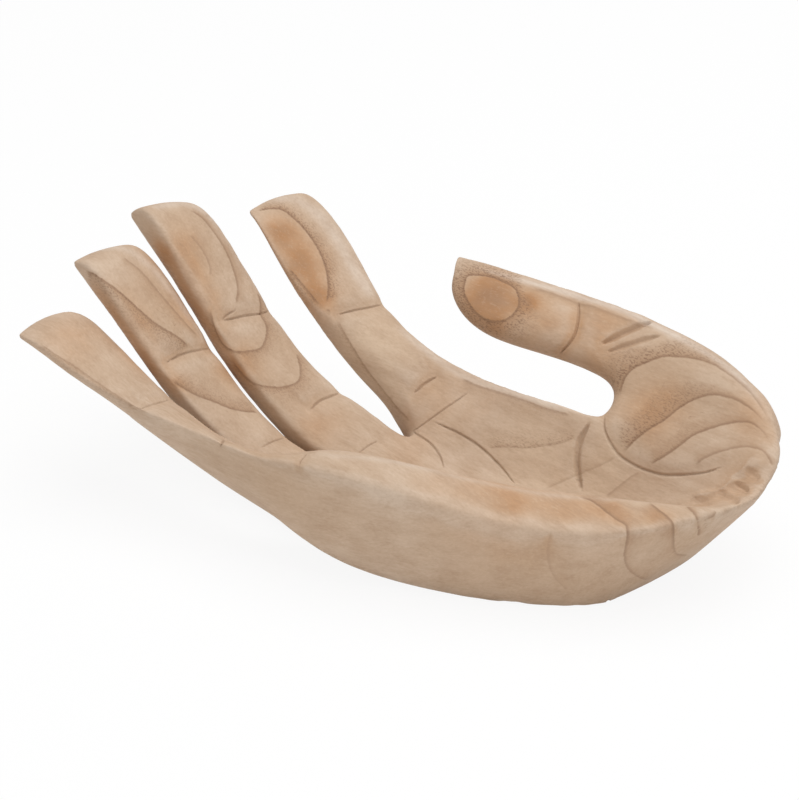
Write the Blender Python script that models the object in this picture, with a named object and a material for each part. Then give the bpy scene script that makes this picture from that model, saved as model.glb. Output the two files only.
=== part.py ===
"""Carved wooden hand, palm up and cupped as a bowl, standing on a flat under the palm.

Axes: fingers toward -X, heel toward +X, little finger toward -Y, thumb toward +Y, +Z up.
The hand is one piece of wood, so it is one object: a cage of quads laid out like an open
hand (palm stations, four digits ahead of them, the thumb beside its slot), then rounded.
"""
import math

import bmesh
import bpy
import numpy as np

# Driving dimensions, in millimetres and degrees
MM = 0.001
SUBDIVISIONS = 2
TRIANGLE_SHARE = 0.6
CUTTER = 400.0

# Middle of the resting flat, in the sketch that the points below are taken from
REST_CENTRE = (-38.0, 16.0)

# Palm stations from heel to finger webs: near rim, far edge, and the two feet below them,
# the rim's share of the width and its rise, the floor of the hollow, the bow toward the fingers
PALM = (
    dict(near=(34, 10, 43), far=(54, 67, 54), foot=(13, 15, 0), far_foot=(23, 62, 21),
         rim=(0.40, 3), floor=48, bow=-8),
    dict(near=(20, -5, 42), far=(20, 64, 50), foot=(9, 5, 0), far_foot=(14, 62, 16),
         rim=(0.38, 5), floor=30, bow=-3),
    dict(near=(3, -15, 42), far=(-4, 61, 48), foot=(-5, -7, 0), far_foot=(-3, 60, 17),
         rim=(0.33, 6), floor=21, bow=0),
    dict(near=(-15, -26, 44), far=(-27, 57, 52), foot=(-21, -17, 0), far_foot=(-24, 58, 22),
         rim=(0.26, 6), floor=19, bow=0),
    dict(near=(-36, -37, 49), far=(-48, 55, 52), foot=(-40, -28, 2), far_foot=(-47, 54, 20),
         rim=(0.20, 6), floor=19, bow=2),
    dict(near=(-57, -47, 54), far=(-70, 54, 51), foot=(-60, -38, 5), far_foot=(-69, 52, 20),
         rim=(0.15, 6), floor=20, bow=5),
    dict(near=(-80, -54, 55), far=(-96, 55, 50), foot=(-82, -48, 12), far_foot=(-95, 52, 22),
         rim=(0.09, 6), floor=28, bow=9),
)
FLOOR_FLAT = 0.42
FLAT_FROM = 0.25
FLAT_TO = 0.82
WEB_FLAT_TO = 0.5
SANDED = 1.5

# Share of the palm's width at each column: four for the little finger, three for each other
COLUMNS = (0.0, 0.085, 0.145, 0.21, 0.23, 0.33, 0.435, 0.46, 0.575, 0.70, 0.765, 0.88, 1.0)

# Digits: palm columns they grow from, plan length and heading toward the thumb; slope, width and
# left wall depth at the four knots from web to pad; tilt and thickness at web and tip;
# step down from the palm, drop of the tip
DIGITS = (
    dict(columns=(0, 1, 2, 3), length=138.5, heading=-5.5, slope=(-3.5, 7, 21, 34.5),
         width=(28, 15, 27, 35), tilt=(10.5, -1), wall=(24, 9, 3, 5),
         thick=(25, 9), step=-8.5, drop=0),
    dict(columns=(4, 5, 6), length=133, heading=-1.5, slope=(-6, 23, 50.5, 35.5),
         width=(23.5, 23, 30.5, 33), tilt=(-1.5, 0.5), wall=(19, 7.5, 14, 15),
         thick=(22, 15), step=-15, drop=4.5),
    dict(columns=(7, 8, 9), length=128.5, heading=1.5, slope=(-3, 27, 54.5, 29),
         width=(31, 26.5, 31, 32.5), tilt=(-8, 4.5), wall=(17, 9.5, 18.5, 21),
         thick=(22, 17), step=-2.5, drop=10),
    dict(columns=(10, 11, 12), length=100.5, heading=7.5, slope=(1, 25, 40.5, 34),
         width=(23, 19, 35, 33.5), tilt=(-6.5, -1.5), wall=(9.5, 17.5, 5.5, 2.5),
         thick=(15, 12), step=3, drop=0),
)
DIGIT_STATIONS = (0.15, 0.33, 0.50, 0.66, 0.80, 0.91, 1.0)
DIGIT_KNOTS = (0.0, 0.35, 0.68, 0.93)
TIP_THICK = 2.0
TIP_FROM = 0.80
TIP_HALF = (0.43, 0.25)
TIP_BACK = (1.5, 7.0)
PAD_CROWN = 2.5
BACK_CROWN = 2.0

# Thumb stations from the heel to the tip: inner edge, outer edge, thickness
THUMB = (
    dict(inner=(45, 77, 59), outer=(32, 87, 66), thick=22),
    dict(inner=(22, 72, 57), outer=(17, 88, 71), thick=24),
    dict(inner=(-2, 71, 57), outer=(0, 91, 76), thick=24),
    dict(inner=(-28, 71, 58), outer=(-20, 92, 78), thick=22),
    dict(inner=(-48, 69, 62), outer=(-43, 91, 79), thick=20),
    dict(inner=(-68, 64, 65), outer=(-64, 89, 80), thick=19),
    dict(inner=(-89, 60, 66), outer=(-88, 87, 80), thick=18),
    dict(inner=(-105, 64, 68), outer=(-106, 85, 80), thick=14),
    dict(inner=(-113, 71, 71), outer=(-117, 82, 80), thick=4),
)
THUMB_CROWN = 2.0
THUMB_BACK = (0.75, 1.05, 0.85)
SLOT = 3

# How sharp the carved edges stay
RIDGE_CREASE = 0.7
EDGE_CREASE = 0.35
TIP_CREASE = 0.9


def clear_scene():
    for ob in list(bpy.data.objects):
        bpy.data.objects.remove(ob, do_unlink=True)


def mix(a, b, t):
    return np.asarray(a, float) * (1 - t) + np.asarray(b, float) * t


def palm_top(row):
    """Top of one palm station: rim chamfer on the near side, then the hollow, then the far edge."""
    near = np.array(row["near"], float)
    far = np.array(row["far"], float)
    share, rise = row["rim"]
    crest = near[2] + rise
    points = [near]
    for column in COLUMNS[1:]:
        t = (column - COLUMNS[1]) / (1 - COLUMNS[1])
        u = share + (1 - share) * t
        sag = min(1.0, math.sin(math.pi * t) / math.sin(math.pi * FLOOR_FLAT))
        level = crest + (far[2] - crest) * t
        p = mix(near, far, u)
        p[0] -= row["bow"] * math.sin(math.pi * u)
        p[2] = level + (row["floor"] - level) * sag
        points.append(p)
    return points


def palm_foot(row):
    """Underside of one palm station: near and far feet joined by the resting flat."""
    flat_to = WEB_FLAT_TO if row is PALM[-1] else FLAT_TO
    near = np.array(row["foot"], float)
    far = np.array(row["far_foot"], float)
    points = []
    for t in COLUMNS:
        p = mix(near, far, t)
        p[0] -= max(-2, row["bow"]) * math.sin(math.pi * t)
        p[2] = near[2] * max(0.0, 1 - t / FLAT_FROM) - SANDED
        p[2] += far[2] * max(0.0, (t - flat_to) / (1 - flat_to))
        points.append(p)
    return points


def digit_stations(digit, base):
    """Top and underside points of one digit, station by station from its web to its tip."""
    count = len(digit["columns"])
    turn = math.radians(digit["heading"])
    ahead = np.array((-math.cos(turn), math.sin(turn), 0.0))
    across = np.array((math.sin(turn), math.cos(turn), 0.0))
    start = mix(base[0], base[-1], 0.5)
    start[2] += digit["step"]
    stations = []
    rise = 0.0
    last = 0.0
    for s in DIGIT_STATIONS:
        tip = s == 1.0
        slope = np.interp((last + s) / 2, DIGIT_KNOTS, digit["slope"])
        rise += -digit["drop"] if tip else (s - last) * digit["length"] * math.tan(math.radians(slope))
        last = s
        width = np.interp(s, DIGIT_KNOTS, digit["width"])
        tilt = mix(*digit["tilt"], s)
        thick = TIP_THICK if tip else mix(*digit["thick"], s)
        wall = TIP_THICK if tip else np.interp(s, DIGIT_KNOTS, digit["wall"])
        top = []
        foot = []
        for k in range(count):
            t = 2 * k / (count - 1) - 1
            crown = 0.0 if tip else 1 - t * t
            half = mix(0.5, TIP_HALF[t > 0], max(0.0, (s - TIP_FROM) / (1 - TIP_FROM)) ** 2)
            back = np.interp(t, (-1, 0, 1), (TIP_BACK[0], 0, TIP_BACK[1])) if tip else 0.0
            p = start + ahead * (digit["length"] * s - back) + across * width * half * t
            level = p[2] + rise - tilt * t
            depth = thick + (wall - thick) * max(0.0, -t)
            top.append((p[0], p[1], level + PAD_CROWN * crown))
            foot.append((p[0], p[1], max(-SANDED, level - depth - BACK_CROWN * crown)))
        stations.append((top, foot))
    return stations


def thumb_stations():
    """Inner edge, pad and outer edge of the thumb with the back below them, heel to tip."""
    stations = []
    for row in THUMB:
        inner = np.array(row["inner"], float)
        outer = np.array(row["outer"], float)
        run = outer - inner
        normal = np.array((0.0, -run[2], run[1]))
        normal /= np.linalg.norm(normal)
        top = [inner, mix(inner, outer, 0.5) + normal * THUMB_CROWN, outer]
        foot = [p - normal * row["thick"] * share for p, share in zip(top, THUMB_BACK)]
        stations.append((top, foot))
    return stations


def add_stations(bm, stations):
    rows = []
    for pair in stations:
        rows.append([[bm.verts.new([c * MM for c in p]) for p in points] for points in pair])
    return rows


def edge_run(rows, column):
    """Top and underside corners of one column along a row of stations."""
    return [top[column] for top, _ in rows], [foot[column] for _, foot in rows]


def skin(bm, rows):
    """Faces over and under a row of stations."""
    for a, b in zip(rows, rows[1:]):
        for near, far in zip(a, b):
            for k in range(len(near) - 1):
                bm.faces.new((near[k], near[k + 1], far[k + 1], far[k]))


def wall(bm, tops, feet):
    """Upright faces below a run of edge corners."""
    for k in range(len(tops) - 1):
        bm.faces.new((tops[k], tops[k + 1], feet[k + 1], feet[k]))


def sharpen(bm, corners, amount, end_amount=None):
    """Crease the edges along a run of corners, fading to a second amount where one is given."""
    layer = bm.edges.layers.float["crease_edge"]
    last = len(corners) - 1
    for k in range(last):
        share = k / last
        fade = amount if end_amount is None else mix(amount, end_amount, share)
        bm.edges.get((corners[k], corners[k + 1]))[layer] = fade


def build_palm(bm, palm):
    skin(bm, palm)
    wall(bm, *edge_run(palm, 0))
    wall(bm, *edge_run(palm[SLOT:], -1))
    sharpen(bm, edge_run(palm, 0)[0], RIDGE_CREASE)
    sharpen(bm, edge_run(palm[SLOT:], -1)[0], EDGE_CREASE)


def build_thumb(bm, thumb, palm):
    """The thumb, its ball joined to the palm up to the slot, and the heel wall across both."""
    skin(bm, thumb)
    wall(bm, *edge_run(thumb, -1))
    wall(bm, *edge_run(thumb[SLOT:], 0))
    wall(bm, *thumb[-1])
    ball = []
    for p, t in zip(palm[:SLOT + 1], thumb):
        ball.append(([p[0][-1], t[0][0]], [p[1][-1], t[1][0]]))
    skin(bm, ball)
    wall(bm, *ball[-1])
    heel = [palm[0][k] + thumb[0][k] for k in (0, 1)]
    wall(bm, *heel)
    sharpen(bm, heel[0], RIDGE_CREASE, EDGE_CREASE)
    outer = edge_run(thumb, -1)[0]
    sharpen(bm, outer[:SLOT + 1], EDGE_CREASE)
    sharpen(bm, outer[SLOT:], RIDGE_CREASE)
    top, foot = thumb[-1]
    sharpen(bm, top[1:], RIDGE_CREASE)
    sharpen(bm, (top[-1], foot[-1]), TIP_CREASE)


def build_digit(bm, digit, palm):
    """One finger growing from its columns of the last palm station."""
    root = [[points[c] for c in digit["columns"]] for points in palm[-1]]
    base = [np.array(v.co) / MM for v in root[0]]
    rows = [root] + add_stations(bm, digit_stations(digit, base))
    skin(bm, rows)
    for side in (0, -1):
        tops, feet = edge_run(rows, side)
        wall(bm, tops, feet)
        sharpen(bm, tops, EDGE_CREASE if side else RIDGE_CREASE)
        sharpen(bm, feet, EDGE_CREASE)
    top, foot = rows[-1]
    wall(bm, top, foot)
    for run in (top, foot, (top[0], foot[0]), (top[-1], foot[-1])):
        sharpen(bm, run, TIP_CREASE)


def build_webs(bm, palm):
    """The end of the gap between each two neighbouring fingers."""
    top, foot = palm[-1]
    for left, right in zip(DIGITS, DIGITS[1:]):
        a = left["columns"][-1]
        b = right["columns"][0]
        wall(bm, (top[a], top[b]), (foot[a], foot[b]))


def build_cage(bm):
    bm.edges.layers.float.new("crease_edge")
    palm = add_stations(bm, [(palm_top(row), palm_foot(row)) for row in PALM])
    thumb = add_stations(bm, thumb_stations())
    build_palm(bm, palm)
    build_thumb(bm, thumb, palm)
    for digit in DIGITS:
        build_digit(bm, digit, palm)
    build_webs(bm, palm)
    bmesh.ops.recalc_face_normals(bm, faces=bm.faces[:])
    shift = (-REST_CENTRE[0] * MM, -REST_CENTRE[1] * MM, 0.0)
    bmesh.ops.translate(bm, verts=bm.verts[:], vec=shift)


def pale_wood():
    mat = bpy.data.materials.new("pale_wood")
    mat.use_nodes = True
    shader = mat.node_tree.nodes["Principled BSDF"]
    shader.inputs["Base Color"].default_value = (0.47, 0.32, 0.21, 1.0)
    shader.inputs["Roughness"].default_value = 0.6
    shader.inputs["Metallic"].default_value = 0.0
    return mat


def build_floor_cutter():
    """Slab below the resting plane: what it takes off leaves the sanded flat."""
    bm = bmesh.new()
    bmesh.ops.create_cube(bm, size=CUTTER * MM)
    bmesh.ops.translate(bm, verts=bm.verts[:], vec=(0.0, 0.0, -CUTTER * MM / 2))
    mesh = bpy.data.meshes.new("floor_cutter")
    bm.to_mesh(mesh)
    bm.free()
    ob = bpy.data.objects.new("floor_cutter", mesh)
    bpy.context.scene.collection.objects.link(ob)
    ob.hide_render = True
    ob.display_type = "WIRE"
    return ob


def build_hand():
    mesh = bpy.data.meshes.new("hand")
    bm = bmesh.new()
    build_cage(bm)
    bm.to_mesh(mesh)
    bm.free()
    mesh.shade_smooth()
    mesh.materials.append(pale_wood())
    ob = bpy.data.objects.new("hand", mesh)
    bpy.context.scene.collection.objects.link(ob)
    rounding = ob.modifiers.new("rounding", "SUBSURF")
    rounding.levels = SUBDIVISIONS
    rounding.render_levels = SUBDIVISIONS
    thinning = ob.modifiers.new("thinning", "DECIMATE")
    thinning.ratio = TRIANGLE_SHARE
    sanding = ob.modifiers.new("sanding", "BOOLEAN")
    sanding.operation = "DIFFERENCE"
    sanding.solver = "EXACT"
    sanding.object = build_floor_cutter()
    return ob


clear_scene()
build_hand()
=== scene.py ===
"""Carved wooden hand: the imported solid, smoothed, carved with its creases and finished in wood.

Creases, growth-ring lines and tinted patches are sketched in the photograph's pixels and cast
from the camera onto the carving, so each one lies on the wood whatever side it is seen from.
"""

import math

import bmesh
import bpy
import numpy as np
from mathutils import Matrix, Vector, kdtree, noise
from mathutils.bvhtree import BVHTree


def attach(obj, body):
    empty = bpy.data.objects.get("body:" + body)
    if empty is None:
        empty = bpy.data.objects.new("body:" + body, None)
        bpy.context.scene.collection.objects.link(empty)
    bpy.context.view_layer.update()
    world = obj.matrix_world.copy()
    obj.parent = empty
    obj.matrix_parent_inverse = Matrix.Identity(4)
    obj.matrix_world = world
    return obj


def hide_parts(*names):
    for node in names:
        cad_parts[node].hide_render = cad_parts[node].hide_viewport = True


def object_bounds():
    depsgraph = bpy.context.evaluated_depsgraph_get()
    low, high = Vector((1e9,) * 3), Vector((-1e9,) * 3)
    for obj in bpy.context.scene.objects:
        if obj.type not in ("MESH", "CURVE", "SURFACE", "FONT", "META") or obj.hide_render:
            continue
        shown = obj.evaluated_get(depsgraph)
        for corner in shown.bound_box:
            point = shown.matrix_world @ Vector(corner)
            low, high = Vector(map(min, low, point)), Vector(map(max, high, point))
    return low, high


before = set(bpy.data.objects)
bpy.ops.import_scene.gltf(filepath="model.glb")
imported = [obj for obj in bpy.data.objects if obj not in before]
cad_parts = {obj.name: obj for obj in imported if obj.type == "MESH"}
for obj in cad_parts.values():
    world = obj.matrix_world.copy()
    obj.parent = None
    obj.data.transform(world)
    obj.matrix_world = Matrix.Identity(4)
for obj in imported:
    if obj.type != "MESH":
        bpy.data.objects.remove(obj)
cad_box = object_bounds()

MM = 0.001

# The photograph's frame in pixels, and the camera that matches it: metres, degrees, pixels and the
# sensor's width in millimetres
IMAGE_SIZE = (799, 800)
CAMERA_PLACE = (0.4670, -0.6225, 0.5178)
CAMERA_AZIMUTH = 40.0
CAMERA_ELEVATION = 30.0
FOCAL_PIXELS = 2358.0
SENSOR = 36.0

# Mesh of the carving: the gap at which corners are welded, the times its edges are halved, then
# rounds of plain smoothing and rounds of smoothing in and back out
WELD = 0.02 * MM
HALVINGS = 2
PLAIN_ROUNDS = 5
SMOOTH_ROUNDS = 12
SMOOTH_IN = 0.5
SMOOTH_OUT = -0.52

# Lines drawn on the wood: pixels between the points cast, the step in depth that breaks a line, the
# spacing of its points on the wood, and a length that keeps a division by nothing away
CAST_STEP = 1.0
LINE_BREAK = 6 * MM
LINE_STEP = 0.4 * MM
TINY = 1e-12

# Finer mesh near the lines: rounds of halving and of evening out, the length below which an edge is
# dropped, and for grooves and ring lines how near an edge is halved and down to which length
REFINE_ROUNDS = 4
EVEN_ROUNDS = 6
TINY_EDGE = 0.06 * MM
GROOVE_REACH = 1.6 * MM
GROOVE_EDGE = 0.6 * MM
RING_LINE_REACH = 0.8 * MM
RING_LINE_EDGE = 1.1 * MM

# Hand-tool lumps left on the surface, which start just above the face that it stands on
LUMP_HEIGHT = 0.14 * MM
LUMP_LENGTH = (0.045, 0.017, 0.017)
LUMP_START = 2 * MM

# Grooves: points in the photograph; width and depth of the cut, depth of the dip round it and
# height of the swell beyond it on the left and right of the way the groove is drawn, in millimetres
CREASES = dict(
    index_tip=dict(at=((338, 314), (352, 310), (366, 307), (383, 303)),
                   width=1.2, depth=0.8, dip=0.9, swell=(0.5, 0.4)),
    index_middle=dict(at=((413, 393), (424, 383), (436, 376)),
                      width=1.6, depth=0.9, dip=0.8, swell=(0.4, 0.2)),
    index_base=dict(at=((468, 392), (445, 408), (424, 423), (412, 431)),
                    width=1.0, depth=0.7, dip=0.4, swell=(0.2, 0.4)),
    middle_tip=dict(at=((223, 320), (234, 318), (246, 315), (260, 313), (271, 310)),
                    width=1.2, depth=0.9, dip=0.9, swell=(0.5, 0.4)),
    middle_hook=dict(at=((223, 319), (229, 314), (236, 310)),
                     width=1.1, depth=0.6, dip=0.0, swell=(0.0, 0.0)),
    middle_middle=dict(at=((310, 409), (319, 400), (330, 395), (345, 389)),
                       width=1.4, depth=0.9, dip=1.0, swell=(0.6, 0.3)),
    middle_base=dict(at=((355, 455), (366, 446), (377, 440)),
                     width=1.1, depth=0.7, dip=0.5, swell=(0.2, 0.2)),
    ring_tip=dict(at=((167, 362), (182, 354), (196, 350), (214, 347)),
                  width=1.2, depth=0.8, dip=0.9, swell=(0.6, 0.5)),
    ring_base=dict(at=((261, 447), (275, 440), (292, 435)),
                   width=1.0, depth=0.6, dip=0.4, swell=(0.2, 0.2)),
    little_tip=dict(at=((136, 409), (152, 403), (171, 398)),
                    width=1.0, depth=0.6, dip=0.8, swell=(0.4, 0.4)),
    little_middle=dict(at=((229, 435), (223, 441), (219, 447)),
                       width=1.2, depth=0.7, dip=0.4, swell=(0.2, 0.2)),
    little_base=dict(at=((306, 453), (300, 460), (299, 468)),
                     width=1.2, depth=0.6, dip=0.5, swell=(0.2, 0.2)),
    thumb_joint=dict(at=((578, 300), (578, 316), (573, 336), (559, 356)),
                     width=1.5, depth=1.0, dip=1.0, swell=(0.5, 0.5)),
    thumb_gouge=dict(at=((601, 344), (625, 332), (652, 321)),
                     width=3.8, depth=1.5, dip=0.3, swell=(0.2, 0.2)),
    thumb_gouge_low=dict(at=((607, 352), (633, 343), (660, 335)),
                         width=3.2, depth=1.1, dip=0.3, swell=(0.2, 0.2)),
    heart=dict(at=((412, 431), (430, 443), (440, 456), (444, 468)),
               width=1.2, depth=0.7, dip=0.2, swell=(0.0, 0.0)),
    head=dict(at=((434, 422), (458, 433), (480, 447), (500, 466), (515, 484)),
              width=1.4, depth=0.8, dip=0.2, swell=(0.0, 0.0)),
    fate=dict(at=((589, 423), (580, 440), (577, 455), (577, 470), (581, 490)),
              width=3.4, depth=1.3, dip=0.3, swell=(0.1, 0.1)),
    life=dict(at=((604, 414), (605, 432), (617, 453), (632, 464), (648, 471), (667, 475),
                  (700, 473), (722, 467)),
              width=1.7, depth=0.8, dip=0.3, swell=(0.7, 0.0)),
    heel_nick=dict(at=((716, 491), (724, 496), (732, 500), (737, 504)),
                   width=5.0, depth=0.7, dip=0.0, swell=(0.4, 0.4)),
    heel_slit=dict(at=((734, 484), (740, 487), (748, 492)),
                   width=4.0, depth=1.0, dip=0.0, swell=(0.5, 0.4)),
    heel_hollow=dict(at=((727, 487), (738, 490), (748, 495)),
                     width=6.0, depth=0.6, dip=0.0, swell=(0.0, 0.0)),
    heel_hollow_end=dict(at=((747, 469), (753, 475), (759, 481)),
                         width=6.0, depth=0.6, dip=0.0, swell=(0.2, 0.2)),
    heel_hollow_start=dict(at=((694, 500), (703, 503), (711, 508)),
                           width=6.0, depth=0.4, dip=0.0, swell=(0.0, 0.0)),
)

# Shape of every groove in millimetres: reach of the dip, where the swell is highest, how far it
# reaches beyond that and in all, how far past its end a groove is cut, and over what length dip and
# swell fade there. The power shapes the sides of the cut
DIP_REACH = 4.5
SWELL_PEAK = 5.0
SWELL_REACH = 11.0
GROOVE_LIMIT = 2.2 * SWELL_REACH
CUT_PAST = 0.6
FADE_PAST = 4.0
CUT_POWER = 0.9

# Ends of every groove, in shares: width left at an end and the length over which it grows, then
# how deep the cut and how high the swell starts there and the length over which each grows
END_WIDTH = 0.5
WIDTH_GROWS = 0.3
CUT_STARTS = 0.2
CUT_GROWS = 0.1
SWELL_STARTS = 0.3
SWELL_GROWS = 0.2

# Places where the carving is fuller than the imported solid, or slimmer where negative: middle in the
# photograph, reach and height in millimetres
FULLER = dict(
    ball_edge=dict(at=(720, 372), reach=13, height=1.3),
    heel_side=dict(at=(771, 453), reach=9, height=1.5),
    heel_turn=dict(at=(776, 432), reach=5, height=-0.9),
)

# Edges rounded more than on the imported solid: points in the photograph, reach in millimetres, and
# the rounds of smoothing that all of them get
ROUNDED = dict(
    index_side=dict(at=((339, 324), (359, 349), (379, 371), (400, 393), (409, 404)), reach=9.0),
)
ROUNDED_ROUNDS = 90

# Arrises left standing between two cut faces: points in the photograph, width and height in
# millimetres, and the share of the length over which an arris rises at each end
ARRISES = dict(
    thumb_bevel=dict(at=((470, 266), (500, 276), (540, 288), (580, 301), (620, 316), (660, 335)),
                     width=4.0, height=0.35),
    heel_crest=dict(at=((690, 498), (706, 496), (722, 492), (735, 481), (750, 466), (764, 459)),
                    width=6.5, height=1.6),
    outer_rim=dict(at=((246, 450), (300, 466), (367, 483), (420, 499), (475, 514), (529, 529),
                       (575, 532), (618, 531), (660, 526), (695, 518)),
                   width=6.0, height=0.35),
)
ARRIS_ENDS = 0.15

# Rounds of smoothing that raised edges stand out from; where they stand out the wood is painted paler, a
# painted highlight
HIGHLIGHT_ROUNDS = 14

# Growth-ring lines: points in the photograph, how dark, which side of the way the line is drawn
# carries the soft brown, how many millimetres that brown takes to fade, and how porous it is.
# A pair of values is for the start and the end of the line
LEFT = 1
RIGHT = -1
RINGS = dict(
    ball_outer=dict(at=((620, 397), (624, 381), (632, 370), (646, 363), (663, 357), (680, 357),
                        (696, 359), (712, 364), (725, 372), (741, 384), (753, 396), (764, 412),
                        (772, 428), (776, 442)),
                    tone=(0.9, 0.5), soft=LEFT, band=(7.0, 1.5), pores=(1.2, 0.0)),
    ball_middle=dict(at=((624, 453), (635, 441), (649, 430), (666, 419), (681, 407), (696, 399),
                         (712, 395), (727, 397), (742, 403), (756, 413), (767, 426), (774, 441)),
                     tone=(1.0, 0.8), soft=LEFT, band=(9.0, 3.0), pores=(0.9, 0.0)),
    ball_inner=dict(at=((650, 465), (666, 456), (679, 447), (693, 436), (710, 429), (727, 424),
                        (742, 422), (753, 424), (764, 433), (773, 448)),
                    tone=0.9, soft=LEFT, band=5.0, pores=(0.3, 0.0)),
    ball_last=dict(at=((696, 465), (710, 456), (727, 450), (742, 447), (754, 448), (765, 453),
                       (773, 467)),
                   tone=0.6, soft=LEFT, band=4.0, pores=0.0),
    palm_first=dict(at=((546, 489), (562, 482), (577, 475), (595, 468), (606, 463), (616, 457)),
                    tone=0.3, soft=LEFT, band=4.5, pores=0.0),
    palm_band=dict(at=((488, 448), (505, 447), (525, 448), (545, 446), (562, 443), (576, 437)),
                   tone=0.35, soft=LEFT, band=4.0, pores=1.3),
    palm_second=dict(at=((606, 496), (620, 485), (630, 477), (639, 472)),
                     tone=0.35, soft=RIGHT, band=5.0, pores=0.0),
    palm_edge=dict(at=((461, 378), (480, 386), (506, 394), (529, 402), (549, 409), (572, 415)),
                   tone=0.5, soft=RIGHT, band=3.0, pores=0.3),
    rim_first=dict(at=((578, 496), (593, 502), (606, 512), (617, 520), (625, 525), (627, 533),
                       (626, 543), (624, 555), (626, 565), (631, 572), (640, 578), (648, 580)),
                   tone=(0.9, 0.5), soft=LEFT, band=(4.5, 3.5), pores=(0.15, 0.0)),
    rim_second=dict(at=((647, 500), (658, 509), (668, 517), (673, 523), (674, 531), (674, 543),
                        (676, 553), (688, 555)),
                    tone=(0.9, 0.5), soft=RIGHT, band=(5.0, 3.5), pores=(0.1, 0.0)),
    rim_third=dict(at=((681, 502), (692, 512), (697, 519), (698, 527), (698, 536)),
                   tone=0.8, soft=LEFT, band=3.0, pores=0.0),
    rim_fourth=dict(at=((704, 521), (710, 518), (714, 516), (717, 511)),
                    tone=0.5, soft=LEFT, band=3.0, pores=0.0),
    wall=dict(at=((551, 530), (547, 554), (553, 575), (567, 591)),
              tone=0.2, soft=LEFT, band=6.0, pores=0.0),
    middle_first=dict(at=((210, 309), (216, 330), (223, 344), (235, 351), (248, 351), (260, 348),
                          (265, 339), (266, 327), (262, 316), (260, 304), (256, 292)),
                      tone=0.8, soft=RIGHT, band=3.5, pores=0.7),
    middle_second=dict(at=((232, 360), (244, 375), (254, 383), (266, 386), (282, 387), (296, 383),
                           (300, 375), (299, 364), (296, 353)),
                       tone=0.8, soft=RIGHT, band=4.0, pores=0.7),
    middle_pad=dict(at=((190, 210), (203, 219), (217, 237), (227, 254), (234, 273), (237, 289),
                        (235, 305)),
                    tone=0.7, soft=LEFT, band=3.5, pores=0.2),
    middle_pad_left=dict(at=((190, 235), (202, 250), (209, 265), (210, 276)),
                         tone=0.4, soft=LEFT, band=3.0, pores=0.2),
    ring_long=dict(at=((190, 347), (177, 337), (156, 324), (141, 311), (120, 292), (99, 277),
                       (85, 270)),
                   tone=0.9, soft=LEFT, band=5.0, pores=0.9),
    ring_right=dict(at=((198, 337), (190, 329), (175, 311), (159, 292), (141, 271), (122, 256)),
                    tone=0.5, soft=LEFT, band=4.0, pores=0.2),
    ring_low=dict(at=((258, 413), (235, 410), (214, 402), (193, 394), (172, 381)),
                  tone=0.9, soft=RIGHT, band=5.0, pores=0.6),
    index_oval=dict(at=((257, 211), (270, 209), (282, 210), (292, 217), (304, 229), (315, 244),
                        (323, 260), (327, 276), (328, 292), (325, 304)),
                    tone=1.0, soft=LEFT, band=3.0, pores=1.2),
    index_edge=dict(at=((290, 269), (301, 282), (311, 294), (320, 304), (332, 312)),
                    tone=0.8, soft=RIGHT, band=2.5, pores=1.0),
    index_low=dict(at=((337, 318), (344, 332), (355, 350), (367, 369), (381, 387), (398, 408),
                       (411, 421)),
                   tone=0.5, soft=RIGHT, band=3.0, pores=0.6),
    little_edge=dict(at=((40, 343), (58, 356), (75, 366), (100, 384), (137, 408)),
                     tone=0.5, soft=RIGHT, band=3.0, pores=0.6),
    little_right=dict(at=((96, 323), (112, 336), (130, 355), (149, 376), (162, 391)),
                      tone=0.45, soft=LEFT, band=3.0, pores=0.5),
    thumb_oval=dict(at=((465, 283), (464, 290), (468, 301), (475, 311), (486, 319), (499, 321),
                        (511, 316), (518, 306), (518, 295), (513, 287), (503, 282), (490, 277),
                        (473, 275), (467, 277), (465, 283)),
                    tone=1.0, soft=RIGHT, band=5.5, pores=1.8),
    thumb_border=dict(at=((533, 288), (548, 292), (568, 299), (590, 306), (612, 314), (632, 321),
                          (655, 328)),
                      tone=0.35, soft=RIGHT, band=1.5, pores=0.0),
)

# Reach of a ring line, the share of its length over which it fades in, how its soft brown falls off,
# and the part of the length over which the first value of a pair passes to the second
RING_REACH = 16.0
RING_ENDS = 0.06
SOFT_POWER = 1.3
PAIR_FROM = 0.25
PAIR_SPAN = 0.5

# Millimetres by which one ring has to be nearer than the next to show, and over which it then grows
RING_GAP = 1.2
RING_GAP_SPAN = 2.5

# Rings of the log: millimetres from a drawn ring where they start and over which they grow, rounds
# that soften the border of the hidden side, and the share of hiding where they start and grow
FREE_FROM = 5.0
FREE_SPAN = 8.0
HIDDEN_ROUNDS = 30
HIDDEN_FROM = 0.35
HIDDEN_SPAN = 0.5
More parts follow.
